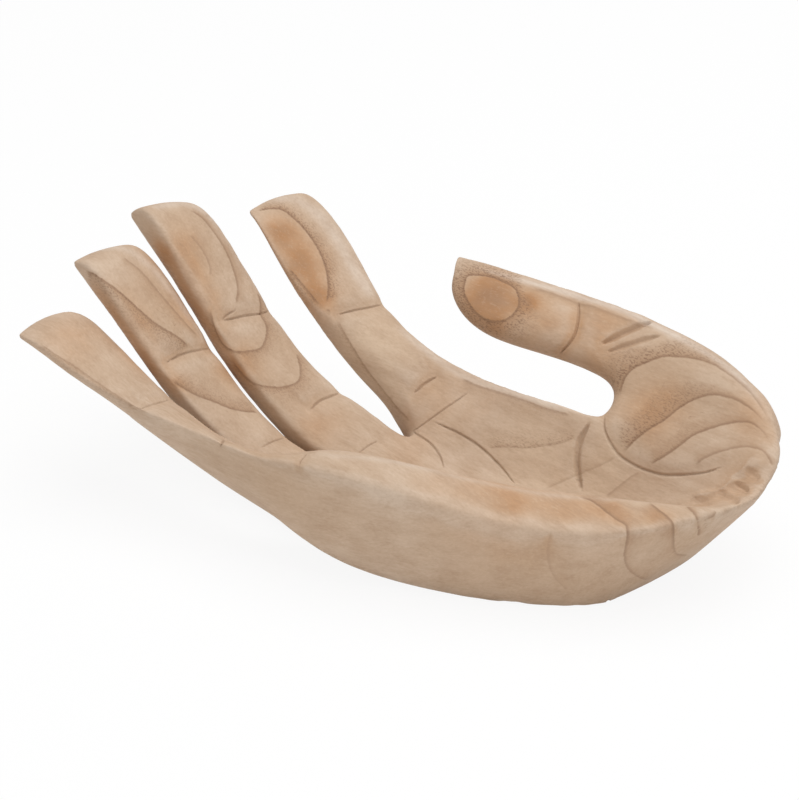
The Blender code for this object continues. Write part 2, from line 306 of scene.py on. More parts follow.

# Patches of warmer wood, or paler where negative: middle in the photograph, reach in millimetres
# and how warm. Not all of it is the wood's own colour: on the left walls of the middle and ring
# fingers the darker brown is partly painted shade, and the paler patches on the index finger and
# the palm floor are partly painted light that lifts their shade
TINTS_AND_PAINTED_LIGHT = dict(
    thumb_pad=dict(at=(488, 294), reach=10, tint_and_painted_light=3.0),
    thumb_pad_end=dict(at=(503, 305), reach=6, tint_and_painted_light=0.8),
    thumb_pad_right=dict(at=(527, 302), reach=5, tint_and_painted_light=1.8),
    thumb_pad_low=dict(at=(497, 327), reach=5, tint_and_painted_light=1.2),
    thumb_middle=dict(at=(548, 322), reach=14, tint_and_painted_light=0.8),
    thumb_root=dict(at=(600, 335), reach=15, tint_and_painted_light=1.1),
    index_pad_top=dict(at=(280, 230), reach=8, tint_and_painted_light=2.1),
    index_pad=dict(at=(303, 262), reach=10, tint_and_painted_light=2.0),
    index_side=dict(at=(318, 300), reach=8, tint_and_painted_light=1.9),
    # Partly painted light: the pale patches on the index finger's lower part and steep left wall lift the
    # shade that falls there
    index_low=dict(at=(378, 348), reach=14, tint_and_painted_light=-0.9),
    index_wall_top=dict(at=(359, 362), reach=10, tint_and_painted_light=-1.4),
    index_wall=dict(at=(386, 396), reach=9, tint_and_painted_light=-1.4),
    index_root=dict(at=(430, 395), reach=13, tint_and_painted_light=0.5),
    index_web=dict(at=(408, 418), reach=7, tint_and_painted_light=0.3),
    palm_edge=dict(at=(490, 405), reach=13, tint_and_painted_light=0.3),
    palm_middle=dict(at=(515, 430), reach=14, tint_and_painted_light=-0.5),
    palm_slot=dict(at=(560, 430), reach=12, tint_and_painted_light=0.1),
    # Partly painted light: the pale patches on the palm floor lift the shade of the hollow
    palm_floor=dict(at=(545, 470), reach=16, tint_and_painted_light=-1.1),
    palm_right=dict(at=(605, 468), reach=13, tint_and_painted_light=-1.0),
    mound=dict(at=(640, 420), reach=14, tint_and_painted_light=0.7),
    mound_knob=dict(at=(622, 440), reach=6, tint_and_painted_light=-0.9),
    mound_band=dict(at=(664, 405), reach=9, tint_and_painted_light=0.7),
    ball_right=dict(at=(755, 412), reach=9, tint_and_painted_light=0.9),
    ball_end=dict(at=(769, 440), reach=7, tint_and_painted_light=0.3),
    heel=dict(at=(741, 487), reach=12, tint_and_painted_light=0.6),
    heel_start=dict(at=(703, 503), reach=8, tint_and_painted_light=0.25),
    rim=dict(at=(510, 500), reach=20, tint_and_painted_light=1.1),
    rim_left=dict(at=(440, 487), reach=12, tint_and_painted_light=0.4),
    rim_heel=dict(at=(596, 514), reach=12, tint_and_painted_light=0.8),
    rim_band=dict(at=(612, 506), reach=3.5, tint_and_painted_light=0.7),
    rim_band_end=dict(at=(624, 516), reach=3.5, tint_and_painted_light=0.7),
    rim_second=dict(at=(655, 515), reach=4, tint_and_painted_light=0.5),
    rim_end=dict(at=(662, 518), reach=8, tint_and_painted_light=0.5),
    little_tip=dict(at=(70, 338), reach=12, tint_and_painted_light=0.7),
    palm_left=dict(at=(410, 449), reach=9, tint_and_painted_light=0.4),
    ring_patch=dict(at=(176, 385), reach=5, tint_and_painted_light=1.2),
    ring_pad=dict(at=(140, 295), reach=9, tint_and_painted_light=0.4),
    ring_pad_edge=dict(at=(137, 324), reach=6, tint_and_painted_light=1.1),
    middle_pad_edge=dict(at=(192, 272), reach=7, tint_and_painted_light=1.0),
    middle_pad=dict(at=(190, 240), reach=9, tint_and_painted_light=0.5),
    # Partly painted shade: the patches on the middle finger's left wall darken and brown it where the ring
    # finger shades it; partly browner wood
    middle_wall_top=dict(at=(165, 255), reach=8, tint_and_painted_light=1.6),
    middle_wall=dict(at=(195, 308), reach=9, tint_and_painted_light=2.0),
    middle_wall_upper=dict(at=(180, 283), reach=7, tint_and_painted_light=0.8),
    middle_wall_lower=dict(at=(213, 340), reach=7, tint_and_painted_light=0.8),
    middle_wall_low=dict(at=(234, 370), reach=9, tint_and_painted_light=1.8),
    middle_root=dict(at=(318, 425), reach=10, tint_and_painted_light=0.7),
    # Partly painted shade: the patches on the ring finger's left wall darken and brown it where the little
    # finger shades it; partly browner wood
    ring_wall_top=dict(at=(113, 315), reach=7, tint_and_painted_light=1.5),
    ring_wall_first=dict(at=(97, 293), reach=6, tint_and_painted_light=0.8),
    ring_wall_middle=dict(at=(130, 342), reach=7, tint_and_painted_light=0.8),
    ring_wall=dict(at=(146, 363), reach=8, tint_and_painted_light=1.8),
)

# Painted highlights: pale strips along edges, where a narrow bevel catches the light. Points in the
# photograph, width in millimetres and how pale
HIGHLIGHT_STRIPS = dict(
    thumb=dict(at=((469, 266), (490, 272), (520, 280), (560, 291), (600, 303), (640, 318),
                   (680, 338), (700, 349), (720, 362), (738, 376), (752, 391), (766, 411)),
               width=1.5, pale=0.75),
    index_top=dict(at=((262, 203), (290, 198), (316, 212), (338, 240), (358, 275), (377, 301)),
                   width=3.2, pale=0.5),
    index_low=dict(at=((392, 322), (425, 350), (462, 375), (500, 389), (540, 402), (584, 413)),
                   width=1.6, pale=0.5),
    middle=dict(at=((150, 208), (185, 204), (212, 219), (235, 252), (252, 286), (264, 306)),
                width=2.4, pale=0.45),
    ring=dict(at=((92, 252), (122, 248), (148, 264), (172, 292), (195, 326)), width=2.4, pale=0.45),
    crest=dict(at=((316, 455), (388, 461), (475, 481), (551, 495), (620, 500), (676, 502)),
               width=1.4, pale=0.3),
)

# How many of its widths a strip reaches, and the share of its length over which it fades in
STRIP_REACH = 3
STRIP_ENDS = 0.1

# Rings where none is drawn: the heart of the log lies along the hand, under the palm. Then metres
# between rings and how far they sway, shares of a ring where its line rises and where it fades, how
# its soft band falls off, and how strong its tone and its pores are beside a drawn ring's
PITH = (0.0, 0.030, -0.035)
PITH_TURN = (0.0, math.radians(12), math.radians(9))
RING_SPACING = 0.0125
LOG_SWAY = 0.006
LOG_RISE = (0.0, 0.03)
LOG_FALL = (0.02, 0.10)
LOG_BAND_POWER = 2.0
LOG_TONE = 0.45
LOG_PORES = 0.3

# Across a drawn ring line in millimetres: where it rises, where it fades, and how far it sways
RING_RISE = (-0.45, 0.15)
RING_FALL = (0.1, 1.2)
RING_SWAY = 0.22

# Noises of the wood, with the size of their lumps in metres, and the span that most values lie in
NOISES = dict(
    broad=dict(size=0.045, detail=3.0),
    cloud=dict(size=0.012, detail=3.0),
    streak=dict(size=0.0045, detail=3.0),
    fibre=dict(size=0.0011, detail=4.0),
    pore=dict(size=0.00055, detail=2.0),
    fleck=dict(size=0.0009, detail=3.0),
    ring_sway=dict(size=0.0016, detail=3.0),
    log_sway=dict(size=0.030, detail=2.0),
)
NOISE_SPAN = (0.2, 0.8)

# Fibres and pores are drawn out along the grain, which runs along X
FIBRE_STRETCH = (0.16, 1.0, 1.0)
PORE_STRETCH = (0.45, 1.0, 1.0)

# Pores: the noise where they open, and how dark they are in dense and in fully porous wood
PORE_SPAN = (0.50, 0.62)
POROUS_SPAN = (0.0, 0.9)
PORE_TONES = (0.05, 0.65)

# The wood's two ground colours and the noise over which they pass into each other
PALE = (0.62, 0.472, 0.350, 1)
TAN = (0.55, 0.393, 0.270, 1)
GROUND_SPAN = (0.35, 0.65)

# Where fibres show, and how much the clouds weaken or strengthen the fibres and the tinted patches,
# painted light and shade among them
FIBRE_SPAN = (0.45, 0.75)
CLOUD_SPAN = (0.35, 0.65)
FIBRE_CLOUDS = (0.2, 1.0)
TINT_CLOUDS = (0.6, 1.3)

# Colours laid over the ground in this order: each one's share over a span of what it follows
LAYERS = dict(
    cloud=dict(colour=(0.50, 0.35, 0.235, 1), span=(0.35, 0.70), share=(0.0, 0.50)),
    # The next three layers follow the tint value: warm, brown where it is strong, golden where it is
    # negative. Through it they carry painted shade on the middle and ring finger walls and painted light
    # on the index finger and palm floor
    tint_and_painted_light=dict(colour=(0.51, 0.27, 0.125, 1), span=(0.0, 1.6), share=(0.0, 1.0)),
    brown=dict(colour=(0.32, 0.16, 0.075, 1), span=(0.9, 3.0), share=(0.0, 1.0)),
    golden=dict(colour=(0.68, 0.52, 0.375, 1), span=(0.0, -1.0), share=(0.0, 0.75)),
    # Painted highlight on raised edges
    raised_edge_highlight=dict(colour=(0.68, 0.56, 0.45, 1), span=(0.05, 0.5), share=(0.0, 0.40)),
    # Painted highlight along the strips
    painted_strip_highlight=dict(colour=(0.74, 0.64, 0.55, 1), span=(0.0, 1.0), share=(0.0, 0.9)),
    streak=dict(colour=(0.42, 0.275, 0.175, 1), span=(0.42, 0.70), share=(0.0, 0.36)),
    fibre=dict(colour=(0.36, 0.225, 0.14, 1), span=(0.0, 1.0), share=(0.0, 0.32)),
    dark_fleck=dict(colour=(0.40, 0.26, 0.165, 1), span=(0.50, 0.72), share=(0.0, 0.17)),
    pale_fleck=dict(colour=(0.70, 0.56, 0.43, 1), span=(0.46, 0.26), share=(0.0, 0.17)),
    ring_band=dict(colour=(0.37, 0.215, 0.12, 1), span=(0.0, 1.0), share=(0.0, 0.62)),
    ring_line=dict(colour=(0.21, 0.118, 0.07, 1), span=(0.0, 1.0), share=(0.0, 0.62)),
    pore=dict(colour=(0.22, 0.125, 0.075, 1), span=(0.0, 1.0), share=(0.0, 1.0)),
    # Painted shade in the bottom of the grooves
    painted_groove_shade=dict(colour=(0.17, 0.09, 0.05, 1), span=(0.0, 1.0), share=(0.0, 0.40)),
)

# Finish: relief of fibres and pores, and the roughness over a span of the fibres
FIBRE_RELIEF = 0.6
PORE_RELIEF = 0.9
BUMP = dict(Strength=0.3, Distance=0.0004)
ROUGH_SPAN = (0.3, 0.7)
ROUGHNESS = (0.60, 0.74)
SPECULAR = 0.25

# Lamps, world and floor. FLOOR_WHITE is the share of plain white that the camera sees in the floor
AIM = (-0.04, 0.0, 0.05)
KEY = dict(place=(0.10, 0.18, 1.40), size=1.4, power=14.5)
FILL = dict(place=(0.60, -1.20, 0.40), size=0.9, power=2.6)
AMBIENT = 0.445
WHITE = (1, 1, 1, 1)
FLOOR_MATTE = (0.95, 0.95, 0.95, 1)
FLOOR_WHITE = 0.9
FLOOR_HALF = 4.0


def camera_axes():
    """Right, up and forward of the camera, from its azimuth and elevation."""
    a = math.radians(CAMERA_AZIMUTH)
    e = math.radians(CAMERA_ELEVATION)
    level = Vector((-math.sin(a), math.cos(a), 0.0))
    right = Vector((math.cos(a), math.sin(a), 0.0))
    up = level * math.sin(e) + Vector((0, 0, math.cos(e)))
    forward = level * math.cos(e) - Vector((0, 0, math.sin(e)))
    return right, up, forward


def pixel_ray(x, y):
    """Direction from the camera through a point of the photograph."""
    right, up, forward = camera_axes()
    across = (x - IMAGE_SIZE[0] / 2) / FOCAL_PIXELS
    down = (y - IMAGE_SIZE[1] / 2) / FOCAL_PIXELS
    return (forward + right * across - up * down).normalized()


def smooth_line(points):
    """Points along a smooth curve through the given ones, about CAST_STEP pixels apart."""
    pts = [Vector((*p, 0)) for p in points]
    pts = [pts[0] * 2 - pts[1]] + pts + [pts[-1] * 2 - pts[-2]]
    out = []
    for p0, p1, p2, p3 in zip(pts, pts[1:], pts[2:], pts[3:]):
        n = max(2, int((p2 - p1).length / CAST_STEP))
        for k in range(n):
            t = k / n
            out.append(0.5 * (2 * p1 + (p2 - p0) * t + (2 * p0 - 5 * p1 + 4 * p2 - p3) * t * t
                              + (3 * p1 - p0 - 3 * p2 + p3) * t ** 3))
    out.append(pts[-2])
    return [(p.x, p.y) for p in out]


def on_wood(tree, points):
    """A photograph line cast onto the carving: places, directions, and left-hand directions.

    Where the view jumps from one finger to what lies behind it, the longer stretch is kept.
    """
    eye = Vector(CAMERA_PLACE)
    runs = [[]]
    for x, y in smooth_line(points):
        place, normal, _, _ = tree.ray_cast(eye, pixel_ray(x, y))
        if place is None:
            continue
        if runs[-1] and (place - runs[-1][-1][0]).length > LINE_BREAK:
            runs.append([])
        runs[-1].append((place, normal))
    run = max(runs, key=len)
    places = np.array([place for place, _ in run])
    normals = np.array([normal for _, normal in run])
    walked = np.concatenate([[0.0], np.cumsum(np.linalg.norm(np.diff(places, axis=0), axis=1))])
    stops = np.linspace(0.0, walked[-1], max(3, int(walked[-1] / LINE_STEP)))
    places = np.stack([np.interp(stops, walked, places[:, axis]) for axis in range(3)], axis=1)
    normals = np.stack([np.interp(stops, walked, normals[:, axis]) for axis in range(3)], axis=1)
    along = np.gradient(places, axis=0)
    along /= np.linalg.norm(along, axis=1, keepdims=True) + TINY
    left = np.cross(normals, along)
    return places, along, left


def near_pixel(tree, co, spec):
    """Per place, 1 at the wood under a point of the photograph, falling to 0 beyond its reach."""
    middle = tree.ray_cast(Vector(CAMERA_PLACE), pixel_ray(*spec["at"]))[0]
    apart = np.linalg.norm(co - np.array(middle), axis=1) / (spec["reach"] * MM)
    return np.exp(-apart ** 2)


def mesh_arrays(mesh):
    """Places and normals of a mesh's vertices."""
    co = np.empty(len(mesh.vertices) * 3, np.float32)
    no = np.empty(len(mesh.vertices) * 3, np.float32)
    mesh.vertices.foreach_get("co", co)
    mesh.vertices.foreach_get("normal", no)
    return co.reshape(-1, 3).astype(float), no.reshape(-1, 3).astype(float)


def set_places(mesh, co):
    """Move a mesh's vertices to the given places."""
    mesh.vertices.foreach_set("co", co.astype(np.float32).ravel())
    mesh.update()


def lift(mesh, co, no, height):
    """Move each vertex along its normal by its height."""
    set_places(mesh, co + no * height[:, None])


def store(mesh, name, values):
    """A value per vertex that the material can read."""
    layer = mesh.attributes.new(name, "FLOAT", "POINT")
    layer.data.foreach_set("value", np.asarray(values, np.float32))


def edge_pairs(mesh):
    """The two vertices of each edge."""
    pairs = np.empty(len(mesh.edges) * 2, np.int32)
    mesh.edges.foreach_get("vertices", pairs)
    return pairs.reshape(-1, 2)


def relax(co, pairs, share):
    """Each vertex moved by a share of the way to the mean of its neighbours."""
    total = np.empty_like(co)
    ends = np.concatenate([pairs[:, 0], pairs[:, 1]])
    others = np.concatenate([pairs[:, 1], pairs[:, 0]])
    count = np.bincount(ends, minlength=len(co))
    for axis in range(3):
        total[:, axis] = np.bincount(ends, weights=co[others, axis], minlength=len(co))
    return co + share * (total / count[:, None] - co)


def ease(x):
    """0 up to 0, 1 from 1 on, and a smooth rise between."""
    x = np.clip(x, 0.0, 1.0)
    return x * x * (3 - 2 * x)


def near_end(share):
    """The share of a line that lies between a place on it and its nearer end."""
    return np.minimum(share, 1 - share)


def keep_larger(values, index, new):
    """Put the new values in where they are larger."""
    values[index] = np.maximum(values[index], new)


def kd_tree(places):
    """A search tree for the nearest of the given places."""
    tree = kdtree.KDTree(len(places))
    for k, p in enumerate(places):
        tree.insert(p, k)
    tree.balance()
    return tree


def divide(bm, edges):
    """Halve the given edges and leave only triangles."""
    bmesh.ops.subdivide_edges(bm, edges=edges, cuts=1)
    bmesh.ops.triangulate(bm, faces=[f for f in bm.faces if len(f.verts) > 3])


def blank():
    """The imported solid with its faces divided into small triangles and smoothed."""
    bm = bmesh.new()
    bm.from_mesh(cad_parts["hand"].data)
    bmesh.ops.remove_doubles(bm, verts=bm.verts, dist=WELD)
    for _ in range(HALVINGS):
        divide(bm, list(bm.edges))
    mesh = bpy.data.meshes.new("carving")
    bm.to_mesh(mesh)
    bm.free()
    co, _ = mesh_arrays(mesh)
    pairs = edge_pairs(mesh)
    for _ in range(PLAIN_ROUNDS):
        co = relax(co, pairs, SMOOTH_IN)
    for _ in range(SMOOTH_ROUNDS):
        co = relax(relax(co, pairs, SMOOTH_IN), pairs, SMOOTH_OUT)
    set_places(mesh, co)
    ob = bpy.data.objects.new("carving", mesh)
    bpy.context.scene.collection.objects.link(ob)
    return ob


def refine(ob, lines, reach, longest):
    """Halve the long edges near the given lines, drop tiny ones and even out what is left."""
    bm = bmesh.new()
    bm.from_mesh(ob.data)
    tree = kd_tree(np.concatenate([places for places, _, _ in lines.values()]))
    for _ in range(REFINE_ROUNDS):
        chosen = {v for v in bm.verts if tree.find(v.co)[2] < reach}
        near = [e for e in bm.edges if e.verts[0] in chosen or e.verts[1] in chosen]
        divide(bm, [e for e in near if e.calc_length() > longest])
    bmesh.ops.dissolve_degenerate(bm, dist=TINY_EDGE, edges=bm.edges)
    bmesh.ops.triangulate(bm, faces=[f for f in bm.faces if len(f.verts) > 3])
    bm.to_mesh(ob.data)
    bm.free()
    ob.data.validate()
    co, _ = mesh_arrays(ob.data)
    near = np.array([tree.find(p)[2] < reach for p in co])
    pairs = edge_pairs(ob.data)
    for _ in range(EVEN_ROUNDS):
        co[near] = relax(co, pairs, SMOOTH_IN)[near]
    set_places(ob.data, co)


def line_distance(line, co, reach):
    """Vertices within reach of a line: index, distance to its left, share along and distance past its end.

    The distance is negative on the line's right.
    """
    places, along, left = line
    lo = places.min(0) - reach
    hi = places.max(0) + reach
    tree = kd_tree(places)
    found = []
    for i in np.nonzero(((co > lo) & (co < hi)).all(1))[0]:
        _, k, d = tree.find(co[i])
        if d < reach:
            off = co[i] - places[k]
            ahead = float(off @ along[k])
            at_end = k in (0, len(places) - 1)
            past = abs(ahead) if at_end else 0.0
            off = off - along[k] * (ahead if at_end else max(-LINE_STEP, min(LINE_STEP, ahead)))
            side = math.copysign(np.linalg.norm(off), float(off @ left[k]))
            found.append((i, side, k / (len(places) - 1), past))
    found = np.array(found).reshape(-1, 4)
    return found[:, 0].astype(int), found[:, 1], found[:, 2], found[:, 3]


def carve(ob, lines):
    """Sink each crease into the wood: a tapered cut in a shallow dip, between swelling pads, and store
    painted shade for each cut.
    """
    co, no = mesh_arrays(ob.data)
    cut_depth = np.zeros(len(co))
    dip_depth = np.zeros(len(co))
    rise = np.zeros(len(co))
    painted_groove_shade = np.zeros(len(co))
    pairs = edge_pairs(ob.data)
    for _ in range(EVEN_ROUNDS):
        no = relax(no, pairs, SMOOTH_IN)
    for name, line in lines.items():
        spec = CREASES[name]
        index, side, share, past = line_distance(line, co, GROOVE_LIMIT * MM)
        side = side / MM
        past = past / MM
        inside = past < CUT_PAST
        to_end = near_end(share)
        wide = END_WIDTH + (1 - END_WIDTH) * ease(to_end / WIDTH_GROWS) * inside
        cut = np.clip(1 - np.abs(side) / (spec["width"] / 2 * wide), 0, None) ** CUT_POWER
        cut = cut * ease(CUT_STARTS + to_end / CUT_GROWS) * inside
        fade = ease(1 - past / FADE_PAST)
        dip = np.exp(-(side / DIP_REACH) ** 2) * fade
        beyond = np.clip(np.abs(side) - SWELL_PEAK, 0, None)
        swell = ease(np.abs(side) / SWELL_PEAK) * np.exp(-(beyond / SWELL_REACH) ** 2)
        swell = swell * np.where(side > 0, *spec["swell"]) * fade
        swell = swell * ease(SWELL_STARTS + to_end / SWELL_GROWS)
        keep_larger(cut_depth, index, cut * spec["depth"])
        keep_larger(dip_depth, index, dip * spec["dip"])
        keep_larger(rise, index, swell)
        # Painted shade in the cut, darker where its sides are steeper
        keep_larger(painted_groove_shade, index, cut * min(1.0, spec["depth"] / (spec["width"] / 2)))
    lift(ob.data, co, no, (rise - dip_depth - cut_depth) * MM)
    store(ob.data, "painted_groove_shade", painted_groove_shade)


def raise_arrises(ob, lines):
    """Lift the wood to a low edge along each arris."""
    co, no = mesh_arrays(ob.data)
    rise = np.zeros(len(co))
    for name, line in lines.items():
        spec = ARRISES[name]
        index, side, share, _ = line_distance(line, co, spec["width"] * MM)
        slope = np.clip(1 - np.abs(side) / (spec["width"] / 2 * MM), 0, None)
        keep_larger(rise, index, slope * spec["height"] * ease(near_end(share) / ARRIS_ENDS))
    lift(ob.data, co, no, rise * MM)


def fill_out(ob):
    """Swell the wood at the places where it is fuller."""
    tree = BVHTree.FromObject(ob, bpy.context.evaluated_depsgraph_get())
    co, no = mesh_arrays(ob.data)
    rise = np.zeros(len(co))
    for spec in FULLER.values():
        rise = rise + spec["height"] * near_pixel(tree, co, spec)
    lift(ob.data, co, no, rise * MM)


def round_edges(ob):
    """Wear down the wood along each rounded edge."""
    tree = BVHTree.FromObject(ob, bpy.context.evaluated_depsgraph_get())
    co, _ = mesh_arrays(ob.data)
    pairs = edge_pairs(ob.data)
    for spec in ROUNDED.values():
        line = kd_tree(on_wood(tree, spec["at"])[0])
        apart = np.array([line.find(p)[2] for p in co])
        share = ease(1 - apart / (spec["reach"] * MM))[:, None]
        for _ in range(ROUNDED_ROUNDS):
            co = co + share * (relax(co, pairs, SMOOTH_IN) - co)
    set_places(ob.data, co)


def add_lumps(ob):
    """Long shallow tool marks over the whole carving, apart from the face it stands on."""
    co, no = mesh_arrays(ob.data)
    height = np.array([noise.noise(Vector(p / LUMP_LENGTH)) for p in co])
    above = ease((co[:, 2] - cad_box[0].z) / LUMP_START)
    lift(ob.data, co, no, LUMP_HEIGHT * height * above)


def find_edges(ob):
    """Per vertex, how far it stands out from its surroundings, in millimetres."""
    co, no = mesh_arrays(ob.data)
    pairs = edge_pairs(ob.data)
    flat = co
    for _ in range(HIGHLIGHT_ROUNDS):
        flat = relax(flat, pairs, SMOOTH_IN)
    store(ob.data, "stand_out", ((co - flat) * no).sum(1) / MM)


def hidden_side(ob, tree):
    """Per vertex, 1 where the photograph doesn't show the wood, 0 where it does, and a soft border."""
    co, no = mesh_arrays(ob.data)
    eye = Vector(CAMERA_PLACE)
    hidden = np.zeros(len(co))
    for i, (p, normal) in enumerate(zip(co, no)):
        start = Vector(p) + Vector(normal) * MM
        way = eye - start
        hidden[i] = way.dot(Vector(normal)) < 0 or tree.ray_cast(start, way)[0] is not None
    pairs = edge_pairs(ob.data)
    hidden = np.repeat(hidden[:, None], 3, axis=1)
    for _ in range(HIDDEN_ROUNDS):
        hidden = relax(hidden, pairs, 1.0)
    return hidden[:, 0]


def graded(value, share):
    """A value along a line: the same all along, or passing from the first to the second of a pair."""
    first, last = value if isinstance(value, tuple) else (value, value)
    return first + (last - first) * ease((share - PAIR_FROM) / PAIR_SPAN)


def draw_rings(ob, lines, tree):
    """Per vertex, what the nearest ring line gives it.

    That is the millimetres to the line, positive on its soft side, the line's tone, its soft brown and
    its pores, and how free the place is for the rings of the log.
    """
    co, _ = mesh_arrays(ob.data)
    nearest = np.full(len(co), RING_REACH)
    second = np.full(len(co), RING_REACH)
    side = np.full(len(co), -RING_REACH)
    tone = np.zeros(len(co))
    band = np.ones(len(co))
    pores = np.zeros(len(co))
    for name, line in lines.items():
        spec = RINGS[name]
        index, across, share, past = line_distance(line, co, RING_REACH * MM)
        closed = spec["at"][0] == spec["at"][-1]
        ends = 1.0 if closed else ease(near_end(share) / RING_ENDS) * ease(1 - past / MM)
        apart = np.hypot(across, past) / MM
        closer = apart < nearest[index]
        second[index] = np.where(closer, nearest[index], np.minimum(second[index], apart))
        won = index[closer]
        nearest[won] = apart[closer]
        side[won] = across[closer] / MM * spec["soft"]
        tone[won] = (ends * graded(spec["tone"], share))[closer]
        band[won] = graded(spec["band"], share)[closer]
        pores[won] = graded(spec["pores"], share)[closer]
    tone = tone * ease((second - nearest - RING_GAP) / RING_GAP_SPAN)
    soft = tone * np.exp(-(nearest / band) ** SOFT_POWER)
    hidden = ease((hidden_side(ob, tree) - HIDDEN_FROM) / HIDDEN_SPAN)
    store(ob.data, "ring_side", side)
    store(ob.data, "ring_tone", tone)
    store(ob.data, "ring_soft", soft)
    store(ob.data, "ring_pores", soft * pores)
    store(ob.data, "ring_free", hidden * ease((nearest - FREE_FROM) / FREE_SPAN))


def draw_tints_and_painted_light(ob, tree):
    """Per vertex, how warm and dark the wood is there, with painted shade on finger walls and painted
    light on the index finger and palm floor.
    """
    co, _ = mesh_arrays(ob.data)
    tint_and_painted_light = np.zeros(len(co))
    for spec in TINTS_AND_PAINTED_LIGHT.values():
        tint_and_painted_light = tint_and_painted_light + spec["tint_and_painted_light"] * near_pixel(tree, co, spec)
    store(ob.data, "tint_and_painted_light", tint_and_painted_light)


def draw_highlight_strips(ob, lines):
    """Per vertex, how much painted highlight lies there, along the strips where a narrow bevel catches the
    light.
    """
    co, _ = mesh_arrays(ob.data)
    pale = np.zeros(len(co))
    for name, line in lines.items():
        spec = HIGHLIGHT_STRIPS[name]
        width = spec["width"] * MM
        index, side, share, past = line_distance(line, co, STRIP_REACH * width)
        ends = ease(near_end(share) / STRIP_ENDS) * ease(1 - past / MM)
        keep_larger(pale, index, spec["pale"] * ends * np.exp(-(side / width) ** 2))
    store(ob.data, "painted_strip_highlight", pale)


class Nodes:
    """Short hand for building a shader tree."""

    def __init__(self, tree):
        self.tree = tree

    def add(self, kind, inputs=None, **settings):
        """A new node with its settings, and with its inputs linked or set."""
        node = self.tree.nodes.new(kind)
        for key, value in settings.items():
            setattr(node, key, value)
        for key, value in (inputs or {}).items():
            if isinstance(value, bpy.types.NodeSocket):
                self.tree.links.new(value, node.inputs[key])
            else:
                node.inputs[key].default_value = value
        return node

    def math(self, operation, a, b=0.0):
        return self.add("ShaderNodeMath", {0: a, 1: b}, operation=operation).outputs[0]

    def times(self, *values):
        """The product of all the values."""
        total = values[0]
        for value in values[1:]:
            total = self.math("MULTIPLY", total, value)
        return total

    def scale(self, value, low, high, to_low=0.0, to_high=1.0):
        """A value between low and high brought between to_low and to_high, and held there."""
        node = self.add("ShaderNodeMapRange", {0: value, 1: low, 2: high, 3: to_low, 4: to_high})
        return node.outputs[0]

    def attribute(self, name):
        """A value that was stored per vertex."""
        return self.add("ShaderNodeAttribute", attribute_name=name).outputs["Fac"]

    def stretched(self, place, stretch):
        """Places for a noise that is drawn out where the stretch is below 1."""
        return self.add("ShaderNodeMapping", {"Vector": place, "Scale": stretch}).outputs[0]

    def noise(self, place, name):
        """One of the wood's noises."""
        inputs = {"Vector": place, "Scale": 1 / NOISES[name]["size"], "Detail": NOISES[name]["detail"]}
        return self.add("ShaderNodeTexNoise", inputs).outputs["Fac"]

    def seen(self):
        """1 for rays from the camera, also by way of a mirror or glass, and 0 for other light."""
        path = self.add("ShaderNodeLightPath").outputs
        return self.math("MAXIMUM", path["Is Camera Ray"],
                         self.math("MAXIMUM", path["Is Glossy Ray"], path["Is Transmission Ray"]))

    def mix(self, share, a, b):
        """Colour a with a share of colour b."""
        return self.add("ShaderNodeMix", {0: share, 6: a, 7: b}, data_type="RGBA").outputs[2]


def new_material(name):
    """An empty material and its shader tree."""
    mat = bpy.data.materials.new(name)
    mat.use_nodes = True
    mat.node_tree.nodes.clear()
    return mat, Nodes(mat.node_tree)


def log_rings(n, place):
    """Line and soft band of the rings that run through the wood where none is drawn."""
    sway = n.scale(n.noise(place, "log_sway"), *NOISE_SPAN, -LOG_SWAY, LOG_SWAY)
    place = n.add("ShaderNodeMapping", {"Vector": place, "Location": PITH, "Rotation": PITH_TURN},
                  vector_type="TEXTURE").outputs[0]
    parts = n.add("ShaderNodeSeparateXYZ", {0: place}).outputs
    far = n.math("SQRT", n.math("ADD", n.times(parts[1], parts[1]), n.times(parts[2], parts[2])))
    share = n.math("FRACT", n.math("DIVIDE", n.math("ADD", far, sway), RING_SPACING))
    rise = n.scale(share, *LOG_RISE)
    line = n.times(rise, n.scale(share, *LOG_FALL, 1.0, 0.0))
    band = n.times(rise, n.math("POWER", n.math("SUBTRACT", 1.0, share), LOG_BAND_POWER))
    return line, band


def ring_marks(n, place, pore_place):
    """Shares of ring line, soft band and pores, from the drawn rings or else from the log's."""
    sway = n.scale(n.noise(place, "ring_sway"), *NOISE_SPAN, -RING_SWAY, RING_SWAY)
    side = n.math("ADD", n.attribute("ring_side"), sway)
    edge = n.scale(side, *RING_RISE)
    free = n.attribute("ring_free")
    log_line, log_band = log_rings(n, place)
    line = n.times(edge, n.scale(side, *RING_FALL, 1.0, 0.0), n.attribute("ring_tone"))
    line = n.math("MAXIMUM", line, n.times(log_line, free, LOG_TONE))
    band = n.times(edge, n.attribute("ring_soft"))
    band = n.math("MAXIMUM", band, n.times(log_band, free, LOG_TONE))
    porous = n.times(edge, n.attribute("ring_pores"))
    porous = n.math("MAXIMUM", porous, n.times(log_band, free, LOG_PORES))
    opened = n.scale(n.noise(pore_place, "pore"), *PORE_SPAN)
    pore = n.times(opened, n.scale(porous, *POROUS_SPAN, *PORE_TONES))
    return line, band, pore


